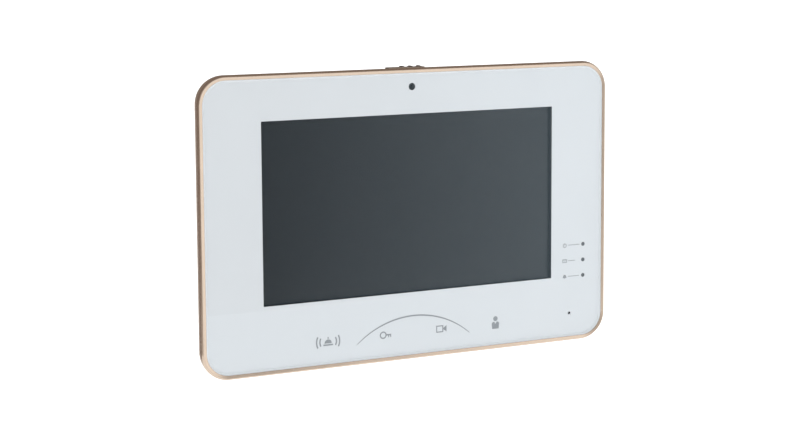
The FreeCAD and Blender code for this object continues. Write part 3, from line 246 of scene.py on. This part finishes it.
def smooth_by_angle(piece, angle=EDGE_ANGLE):
    """Smooth shading between sharp edges, in which large faces stay flat."""
    mesh = piece.data
    mesh.shade_smooth()
    mesh.set_sharp_from_angle(angle=angle)
    evened = piece.modifiers.new("even_normals", "WEIGHTED_NORMAL")
    evened.weight = 100
    evened.keep_sharp = True
    apply_modifiers(piece)


def softened(node, width_mm, segments=2):
    """A clean copy of a CAD node which stands for it, with its sharp edges rounded if a width is given."""
    builder = bmesh.new()
    builder.from_mesh(frame["nodes"][node].data)
    bmesh.ops.remove_doubles(builder, verts=builder.verts, dist=1e-6)
    flat = math.radians(0.4)
    if width_mm:
        bmesh.ops.dissolve_limit(builder, angle_limit=flat, verts=builder.verts, edges=builder.edges)
    piece = object_from(f"{node}_shell", builder)
    if width_mm:
        bevel = piece.modifiers.new("soft_edges", "BEVEL")
        bevel.width = width_mm * MM
        bevel.segments = segments
        bevel.limit_method = "ANGLE"
        bevel.angle_limit = EDGE_ANGLE
        bevel.use_clamp_overlap = True
        apply_modifiers(piece)
    smooth_by_angle(piece)
    dress(piece, FINISH_INSTEAD.get(node, NODE_SLOT[node]))
    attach(piece, NODE_BODY[node])
    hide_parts(node)
    return piece


# ---------------------------------------------------------------- sizes read from the frame

glass_low, glass_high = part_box("front_glass")
ink_low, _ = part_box("ink_layer")
ring_low, ring_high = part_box("trim_frame")
panel_low, panel_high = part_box("lcd_panel")
plinth_low, plinth_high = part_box("slider_plinth")
lens_low, lens_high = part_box("camera_lens")
lamps_low, lamps_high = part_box("light_pipes")
print_y = ink_low.y - 0.015 * MM
body_half_x = (ring_high.x - ring_low.x) / 2
body_half_z = 71.0 * MM


# ---------------------------------------------------------------- trim frame

OUTER_CORNER = 13.6 * MM
ARC_STEPS = 20


def outline_points(inset=0.0, steps=ARC_STEPS):
    """The body's rounded outline as (x, z, outward x, outward z), counterclockwise seen from the front."""
    points = []
    for quarter, (side_x, side_z) in enumerate(((1, -1), (1, 1), (-1, 1), (-1, -1))):
        centre_x = side_x * (body_half_x - OUTER_CORNER)
        centre_z = side_z * (body_half_z - OUTER_CORNER)
        for step in range(steps + 1):
            angle = math.pi / 2 * (quarter - 1 + step / steps)
            out_x, out_z = math.cos(angle), math.sin(angle)
            radius = OUTER_CORNER - inset
            points.append((centre_x + radius * out_x, centre_z + radius * out_z, out_x, out_z))
    return points


def ring_section():
    """The frame's section as (inset, depth) in millimetres, from the inner wall round to the back."""
    lip_width, shoulder_depth, face = 0.95, 1.7, 26.0
    widest = face - shoulder_depth
    radius = (shoulder_depth ** 2 + lip_width ** 2) / (2 * lip_width)
    sweep = math.asin(shoulder_depth / radius)
    section = [(2.35, 20.0), (2.35, 25.62), (2.27, 25.72), (1.12, 25.97), (lip_width + 0.03, face)]
    turns = 14
    for turn in range(1, turns + 1):
        angle = sweep * (1 - turn / turns)
        section.append((radius * (1 - math.cos(angle)), widest + radius * math.sin(angle)))
    for turn in range(1, 9):
        angle = math.pi / 2 * turn / 8
        section.append((0.6 * (1 - math.cos(angle)), widest - (widest - 20.0) * math.sin(angle)))
    return section


def swept(name, section):
    """A closed ring with the given section all round the outline."""
    builder = bmesh.new()
    loops = []
    for x, z, out_x, out_z in outline_points():
        loop = []
        for inset, depth in section:
            shift = inset * MM
            loop.append(builder.verts.new((x - shift * out_x, -depth * MM, z - shift * out_z)))
        loops.append(loop)
    for this, following in zip(loops, loops[1:] + loops[:1]):
        for index in range(len(section)):
            after = (index + 1) % len(section)
            builder.faces.new((this[index], this[after], following[after], following[index]))
    bmesh.ops.recalc_face_normals(builder, faces=builder.faces)
    return object_from(name, builder)


def make_trim_frame():
    """Rose-gold ring: bright inner chamfer, quarter-ellipse shoulder, tucked back."""
    ring = swept("trim_ring", ring_section())
    carve(ring, [plinth_seat(), stem_slot()])
    smooth_by_angle(ring, math.radians(32))
    dress(ring, "gold_metal")
    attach(ring, "monitor")
    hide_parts("trim_frame")


def make_cover_glass():
    """Flat pane with a fine chamfer round its front edge and the microphone's hole through it."""
    inset, chamfer = 2.45 * MM, 0.1 * MM
    back_y = glass_high.y - 0.04 * MM
    hole_x, hole_z, hole_radius, hole_steps = 88.0 * MM, -56.9 * MM, 0.7 * MM, 24
    builder = bmesh.new()

    def outer_loop(extra, y):
        return [builder.verts.new((x, y, z)) for x, z in flat_outline(inset + extra)]

    def hole_loop(y):
        turns = [2 * math.pi * step / hole_steps for step in range(hole_steps)]
        return [
            builder.verts.new((hole_x + hole_radius * math.cos(a), y, hole_z + hole_radius * math.sin(a)))
            for a in turns
        ]

    def wall(loop, other):
        for index in range(len(loop)):
            after = (index + 1) % len(loop)
            builder.faces.new((loop[index], loop[after], other[after], other[index]))

    def cap(*loops):
        edges = []
        for loop in loops:
            for start, end in zip(loop, loop[1:] + loop[:1]):
                edges.append(builder.edges.get((start, end)) or builder.edges.new((start, end)))
        bmesh.ops.triangle_fill(builder, use_beauty=True, edges=edges)

    front = outer_loop(chamfer, glass_low.y)
    shoulder = outer_loop(0, glass_low.y + chamfer)
    back = outer_loop(0, back_y)
    hole_front, hole_back = hole_loop(glass_low.y), hole_loop(back_y)
    cap(front, hole_front)
    cap(back, hole_back)
    wall(front, shoulder)
    wall(shoulder, back)
    wall(hole_front, hole_back)
    bmesh.ops.recalc_face_normals(builder, faces=builder.faces)
    pane = object_from("cover_pane", builder)
    smooth_by_angle(pane)
    dress(pane, "cover_glass")
    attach(pane, "monitor")
    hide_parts("front_glass")


def flat_outline(inset):
    """The outline's points moved inwards, as (x, z)."""
    return [(x, z) for x, z, _, _ in outline_points(inset)]


def make_print_rim():
    """The white print's border, turned up to the glass's edge."""
    rim = swept("print_rim", [(3.3, 24.68), (2.4, 25.6), (2.37, 25.6), (2.37, 24.68)])
    smooth_by_angle(rim)
    dress(rim, "white_print")
    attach(rim, "monitor")


def box_builder(low, high):
    builder = bmesh.new()
    bmesh.ops.create_cube(builder, size=1.0)
    centre = (Vector(low) + Vector(high)) / 2
    size = Vector(high) - Vector(low)
    for vert in builder.verts:
        vert.co = Vector(vert.co[axis] * size[axis] + centre[axis] for axis in range(3))
    return builder


def plinth_seat():
    gap = 0.02 * MM
    low = (plinth_low.x - gap, plinth_low.y - gap, plinth_low.z - gap)
    high = (plinth_high.x + gap, plinth_high.y + gap, plinth_high.z + MM)
    return box_builder(low, high)


def stem_slot():
    stem_low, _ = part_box("shutter_knob")
    travel, gap, stem_half = 6.5 * MM, 0.15 * MM, 4.0 * MM
    low = (-stem_half - travel - gap, stem_low.y - gap, plinth_low.z - 3 * MM)
    high = (stem_half + gap, stem_low.y + MM + gap, plinth_low.z + MM)
    return box_builder(low, high)


def carve(piece, tools):
    """Takes each tool's volume out of the piece."""
    for index, tool_builder in enumerate(tools):
        tool = object_from(f"tool_{index}", tool_builder)
        cutter = piece.modifiers.new("cut", "BOOLEAN")
        cutter.operation = "DIFFERENCE"
        cutter.object = tool
        cutter.solver = "EXACT"
        apply_modifiers(piece)
        bpy.data.objects.remove(tool)


# ---------------------------------------------------------------- print on the glass

class Print:
    """Flat grey marks behind the glass, drawn in millimetres from the body's centre."""

    def __init__(self, name, finish="print_grey"):
        self.name = name
        self.finish = finish
        self.builder = bmesh.new()

    def polygon(self, points):
        verts = [self.builder.verts.new((x * MM, print_y, z * MM)) for x, z in points]
        self.builder.faces.new(verts)
        return self

    def bar(self, x0, x1, z0, z1):
        return self.polygon([(x0, z0), (x1, z0), (x1, z1), (x0, z1)])

    def band(self, centre, radii, angles, steps=24, widths=None):
        """Part of a ring between two angles in degrees, even or tapering by a function of 0 to 1."""
        inner, outer = radii
        middle, half = (inner + outer) / 2, (outer - inner) / 2
        rows = []
        for step in range(steps + 1):
            share = step / steps
            angle = math.radians(angles[0] + (angles[1] - angles[0]) * share)
            reach = half * (widths(share) if widths else 1)
            row = []
            for radius in (middle - reach, middle + reach):
                x = centre[0] + radius * math.cos(angle)
                z = centre[1] + radius * math.sin(angle)
                row.append(self.builder.verts.new((x * MM, print_y, z * MM)))
            rows.append(row)
        for this, following in zip(rows, rows[1:]):
            self.builder.faces.new((this[0], this[1], following[1], following[0]))
        return self

    def disc(self, centre, radius, steps=28):
        turns = [2 * math.pi * step / steps for step in range(steps)]
        x, z = centre
        return self.polygon([(x + radius * math.cos(a), z + radius * math.sin(a)) for a in turns])

    def frame(self, x0, x1, z0, z1, line):
        self.bar(x0, x1, z0, z0 + line)
        self.bar(x0, x1, z1 - line, z1)
        self.bar(x0, x0 + line, z0 + line, z1 - line)
        return self.bar(x1 - line, x1, z0 + line, z1 - line)

    def finish_on(self, body="monitor"):
        bmesh.ops.remove_doubles(self.builder, verts=self.builder.verts, dist=1e-7)
        bmesh.ops.recalc_face_normals(self.builder, faces=self.builder.faces)
        piece = object_from(self.name, self.builder)
        thickness = piece.modifiers.new("ink", "SOLIDIFY")
        thickness.thickness = 0.012 * MM
        thickness.offset = 0
        apply_modifiers(piece)
        dress(piece, self.finish)
        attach(piece, body)
        return piece


KEY_Z = -57.8
ARC_CENTRE_Z = -95.9
ARC_RADIUS = 46.2
ARC_HALF_ANGLE = 41.3
LAMP_ROWS = (-22.0, -30.0, -38.0)


def make_key_arc():
    """Thin arc over the middle keys, thickest at its top."""
    thick = 0.72
    radii = (ARC_RADIUS - thick / 2, ARC_RADIUS + thick / 2)
    angles = (90 + ARC_HALF_ANGLE, 90 - ARC_HALF_ANGLE)
    arc = Print("key_arc")

    def taper(share):
        return 0.35 + 0.65 * math.sin(math.pi * share) ** 0.6

    arc.band((0.4, ARC_CENTRE_Z), radii, angles, 72, taper)
    arc.finish_on()


def make_alarm_mark():
    """Beacon with two sound arcs on each side, for the emergency key."""
    x, low = -45.0, KEY_Z - 2.1
    mark = Print("alarm_mark")
    mark.bar(x - 2.5, x + 2.5, low, low + 0.75)
    mark.band((x, low + 1.15), (0.0001, 1.9), (0, 180), 24)
    mark.bar(x - 0.3, x + 0.3, low + 3.3, low + 4.2)
    for side in (0, 180):
        for radius in (3.9, 5.6):
            mark.band((x, low + 1.9), (radius, radius + 0.72), (side - 27, side + 27), 16)
    mark.finish_on()


def make_key_mark():
    """Key for the door-release key."""
    x = -15.0
    mark = Print("key_mark")
    mark.band((x - 1.1, KEY_Z), (1.2, 1.85), (0, 360), 36)
    mark.bar(x + 0.72, x + 3.15, KEY_Z - 0.36, KEY_Z + 0.36)
    mark.bar(x + 1.5, x + 2.05, KEY_Z - 1.25, KEY_Z - 0.36)
    mark.bar(x + 2.6, x + 3.15, KEY_Z - 1.25, KEY_Z - 0.36)
    mark.finish_on()


def make_camera_mark():
    """Video camera for the live-view key."""
    x = 15.0
    mark = Print("camera_mark")
    left, right, lens_end, half = x - 2.5, x + 1.4, x + 3.2, 1.75
    mark.frame(left, right, KEY_Z - half, KEY_Z + half, 0.55)
    mark.polygon([
        (right, KEY_Z - 0.35),
        (lens_end, KEY_Z - 1.6),
        (lens_end, KEY_Z + 1.6),
        (right, KEY_Z + 0.35),
    ])
    mark.finish_on()


def make_person_mark():
    """Head over a jacket with an open collar, for the call key."""
    x, low, high, half, corner = 45.5, KEY_Z - 3.0, KEY_Z + 0.55, 2.1, 0.7
    mark = Print("person_mark")
    mark.disc((x, KEY_Z + 2.1), 1.25)
    mark.polygon([
        (x - half + 0.25, low),
        (x + half - 0.25, low),
        (x + half, high - corner),
        (x + half - corner, high),
        (x + 0.55, high),
        (x, high - 1.1),
        (x - 0.55, high),
        (x - half + corner, high),
        (x - half, high - corner),
    ])
    mark.finish_on()


def make_lamp_marks():
    """Power, message and alarm symbols, each with a short line to its lamp."""
    left, line = 85.3, 0.36
    power_z, message_z, bell_z = LAMP_ROWS
    power = Print("power_mark")
    power.band((left, power_z - 0.1), (0.72, 1.1), (120, 420), 28)
    power.bar(left - 0.19, left + 0.19, power_z, power_z + 1.2)
    power.finish_on()
    message = Print("message_mark")
    message.frame(left - 1.3, left + 1.3, message_z - 0.9, message_z + 0.9, line)
    message.polygon([
        (left - 1.0, message_z + 0.6),
        (left, message_z - 0.25),
        (left + 1.0, message_z + 0.6),
        (left, message_z + 0.15),
    ])
    message.finish_on()
    bell = Print("bell_mark")
    bell.band((left, bell_z + 0.1), (0.0001, 0.85), (0, 180), 20)
    bell.polygon([
        (left - 0.85, bell_z + 0.1),
        (left - 1.2, bell_z - 0.7),
        (left + 1.2, bell_z - 0.7),
        (left + 0.85, bell_z + 0.1),
    ])
    bell.disc((left, bell_z - 1.02), 0.24, 12)
    bell.finish_on()
    for index, (row, end) in enumerate(zip(LAMP_ROWS, (94.0, 91.4, 93.7))):
        leader = Print(f"lamp_line_{index + 1}")
        leader.bar(left + 2.0, end, row - 0.16, row + 0.16)
        leader.finish_on()


def make_lamp_filters():
    """Smoked print over each lamp's window."""
    filters = Print("lamp_filters", "print_dark")
    middle_x = (lamps_low.x + lamps_high.x) / 2 / MM
    for row in LAMP_ROWS:
        filters.disc((middle_x, row), 1.02)
    filters.finish_on()


# ---------------------------------------------------------------- screen

def make_screen():
    """The glass of the lit area, on the panel's front."""
    centre_x = (panel_low.x + panel_high.x) / 2 / MM
    centre_z = (panel_low.z + panel_high.z) / 2 / MM
    half_x, half_z = 77.1, 42.95
    builder = bmesh.new()
    front = panel_low.y - 0.03 * MM
    corners = [(-1, -1), (1, -1), (1, 1), (-1, 1)]
    verts = [
        builder.verts.new(((centre_x + half_x * sx) * MM, front, (centre_z + half_z * sz) * MM))
        for sx, sz in corners
    ]
    builder.faces.new(verts)
    bmesh.ops.subdivide_edges(builder, edges=builder.edges, cuts=6, use_grid_fill=True)
    active = object_from("screen_active_area", builder)
    film = active.modifiers.new("film", "SOLIDIFY")
    film.thickness = 0.03 * MM
    film.offset = 0
    apply_modifiers(active)
    dress(active, "screen_glass")
    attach(active, "monitor")


# ---------------------------------------------------------------- camera eye

def make_camera_eye():
    """Domed front element in the camera's barrel."""
    centre_x, centre_z = (lens_low.x + lens_high.x) / 2, (lens_low.z + lens_high.z) / 2
    radius = (lens_high.x - lens_low.x) / 2
    builder = bmesh.new()
    rings, turns = 10, 48
    rows = []
    for ring in range(1, rings + 1):
        share = ring / rings
        depth = lens_low.y + 0.45 * MM * share * share
        rows.append([
            builder.verts.new((
                centre_x + radius * share * math.cos(2 * math.pi * turn / turns),
                depth,
                centre_z + radius * share * math.sin(2 * math.pi * turn / turns),
            ))
            for turn in range(turns)
        ])
    back = [builder.verts.new((vert.co.x, lens_high.y, vert.co.z)) for vert in rows[-1]]
    rows.append(back)
    tip = builder.verts.new((centre_x, lens_low.y, centre_z))
    for turn in range(turns):
        after = (turn + 1) % turns
        builder.faces.new((tip, rows[0][after], rows[0][turn]))
        for inner, outer in zip(rows, rows[1:]):
            builder.faces.new((inner[turn], inner[after], outer[after], outer[turn]))
    builder.faces.new(back)
    bmesh.ops.recalc_face_normals(builder, faces=builder.faces)
    eye = object_from("camera_eye", builder)
    smooth_by_angle(eye)
    dress(eye, "lens_glass")
    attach(eye, "monitor")
    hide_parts("camera_lens")


# ---------------------------------------------------------------- assembly

for node, piece in frame["nodes"].items():
    dress(piece, NODE_SLOT[node])

SOFTENED = {
    "rear_housing": 0.35,
    "wall_plate": 0.3,
    "slider_plinth": 0.25,
    "shutter_knob": 0.18,
    "shutter_blade": 0.08,
    "network_jack": 0.2,
    "door_terminal": 0.15,
    "power_terminal": 0.15,
    "heat_spreader": 0.1,
    "processor": 0.15,
    "memory_chips": 0.12,
    "storage_chip": 0.12,
    "audio_chip": 0.12,
    "network_transformer": 0.2,
    "card_socket": 0.15,
    "power_coils": 0.3,
    "lock_screw": 0.15,
    "housing_screws": 0.12,
    "inner_carrier": 0.12,
    "wall_pads": 0.1,
}
REMADE = {"front_glass", "trim_frame", "camera_lens"}
for node in frame["nodes"]:
    if node not in REMADE:
        softened(node, SOFTENED.get(node, 0.0))

make_trim_frame()
make_cover_glass()
make_print_rim()
make_key_arc()
make_alarm_mark()
make_key_mark()
make_camera_mark()
make_person_mark()
make_lamp_marks()
make_lamp_filters()
make_screen()
make_camera_eye()


# ---------------------------------------------------------------- studio

def make_floor():
    """Plain pale floor well below the monitor."""
    drop, half = 0.45, 40.0
    builder = bmesh.new()
    bmesh.ops.create_grid(builder, x_segments=2, y_segments=2, size=half)
    floor = object_from("studio_floor", builder)
    floor.location.z = -drop
    pale = Finish("studio_floor", (0.92, 0.92, 0.92, 1), 0.9)
    pale.shader.inputs["Emission Color"].default_value = STUDIO_WHITE
    pale.shader.inputs["Emission Strength"].default_value = 0.55
    pale.vary(3, 0.005)
    floor.data.materials.append(pale.material)


def make_world():
    world = bpy.data.worlds.new("studio")
    world.use_nodes = True
    background = world.node_tree.nodes["Background"]
    background.inputs["Color"].default_value = (1.0, 1.0, 1.0, 1)
    background.inputs["Strength"].default_value = 1.0
    bpy.context.scene.world = world


def softbox(name, place, target, size, power, colour=(1, 1, 1)):
    """A rectangular light at a place, turned towards a target."""
    light = bpy.data.lights.new(name, "AREA")
    light.shape = "RECTANGLE"
    light.size, light.size_y = size
    light.energy = power
    light.color = colour
    lamp = bpy.data.objects.new(name, light)
    lamp.location = place
    direction = Vector(target) - Vector(place)
    lamp.rotation_euler = direction.to_track_quat("-Z", "Y").to_euler()
    bpy.context.scene.collection.objects.link(lamp)
    return lamp


def card(name, corners, stops, tint=(1, 1, 1)):
    """A flat glowing card that only reflections and light see, with (x, strength) stops along X."""
    builder = bmesh.new()
    builder.faces.new([builder.verts.new(corner) for corner in corners])
    piece = object_from(name, builder)
    material = bpy.data.materials.new(name)
    material.use_nodes = True
    nodes, links = material.node_tree.nodes, material.node_tree.links
    nodes.remove(nodes["Principled BSDF"])
    place = nodes.new("ShaderNodeTexCoord")
    split = nodes.new("ShaderNodeSeparateXYZ")
    share = nodes.new("ShaderNodeMapRange")
    left, right = stops[0][0], stops[-1][0]
    share.inputs["From Min"].default_value = left
    share.inputs["From Max"].default_value = right
    ramp = nodes.new("ShaderNodeValToRGB")
    elements = ramp.color_ramp.elements
    strongest = max(strength for _, strength in stops)
    for index, (x, strength) in enumerate(stops):
        if index == 0:
            stop = elements[0]
        elif index == len(stops) - 1:
            stop = elements[len(elements) - 1]
        else:
            stop = elements.new((x - left) / (right - left))
        stop.color = tuple(strength / strongest * channel for channel in tint) + (1,)
    glow = nodes.new("ShaderNodeEmission")
    glow.inputs["Strength"].default_value = strongest
    links.new(place.outputs["Object"], split.inputs[0])
    links.new(split.outputs["X"], share.inputs["Value"])
    links.new(share.outputs["Result"], ramp.inputs["Fac"])
    links.new(ramp.outputs["Color"], glow.inputs["Color"])
    links.new(glow.outputs[0], nodes["Material Output"].inputs["Surface"])
    piece.data.materials.append(material)
    piece.visible_camera = False
    piece.visible_shadow = False
    return piece


def upright_corners(x0, x1, y, z0, z1):
    return [(x0, y, z0), (x1, y, z0), (x1, y, z1), (x0, y, z1)]


def make_cards():
    """A wide glowing card in front, brighter to the right, and dim warm ones for the metal."""
    front_stops = [(-1.0, 0.8), (0.2, 0.9), (0.6, 0.65), (1.1, 1.8), (1.5, 1.6), (2.4, 1.5)]
    card("front_card", upright_corners(-1.0, 2.4, -1.8, -0.44, 1.3), front_stops)
    warm = (1.0, 0.84, 0.76)
    dim_cards = {
        "left_back_card": upright_corners(-2.4, -0.2, 0.6, -0.44, 1.5),
        "top_back_card": upright_corners(-0.2, 1.3, 0.6, 0.1, 1.5),
        "left_card": [(-1.6, -0.9, -0.44), (-1.6, 0.6, -0.44), (-1.6, 0.6, 1.5), (-1.6, -0.9, 1.5)],
        "ceiling_card": [(-1.6, -0.9, 1.5), (1.6, -0.9, 1.5), (1.6, 0.6, 1.5), (-1.6, 0.6, 1.5)],
    }
    for name, corners in dim_cards.items():
        dim = card(name, corners, [(-2.4, 0.36), (2.4, 0.36)], warm)
        dim.visible_diffuse = False


def make_camera():
    """Camera left of the monitor and a little above it, with a small vertical shift."""
    yaw, pitch, roll = math.radians(25.51), math.radians(-6.553), math.radians(-0.331)
    place = Vector((-0.3681, -0.7841, 0.1314))
    forward = Vector((math.sin(yaw) * math.cos(pitch), math.cos(yaw) * math.cos(pitch), math.sin(pitch)))
    level_right = Vector((math.cos(yaw), -math.sin(yaw), 0))
    level_up = level_right.cross(forward)
    right = math.cos(roll) * level_right + math.sin(roll) * level_up
    up = math.cos(roll) * level_up - math.sin(roll) * level_right
    lens = bpy.data.cameras.new("camera")
    lens.sensor_width = 36
    lens.lens = 79.2
    lens.shift_y = -0.1
    lens.clip_end = 50
    camera = bpy.data.objects.new("camera", lens)
    camera.matrix_world = Matrix.Translation(place) @ Matrix((right, up, -forward)).transposed().to_4x4()
    bpy.context.scene.collection.objects.link(camera)
    bpy.context.scene.camera = camera


make_floor()
make_world()
make_cards()
softbox("key_light", (0.9, -1.3, 0.9), (0, 0, 0), (0.9, 0.7), 3)
make_camera()
bpy.context.scene.view_settings.view_transform = "Standard"
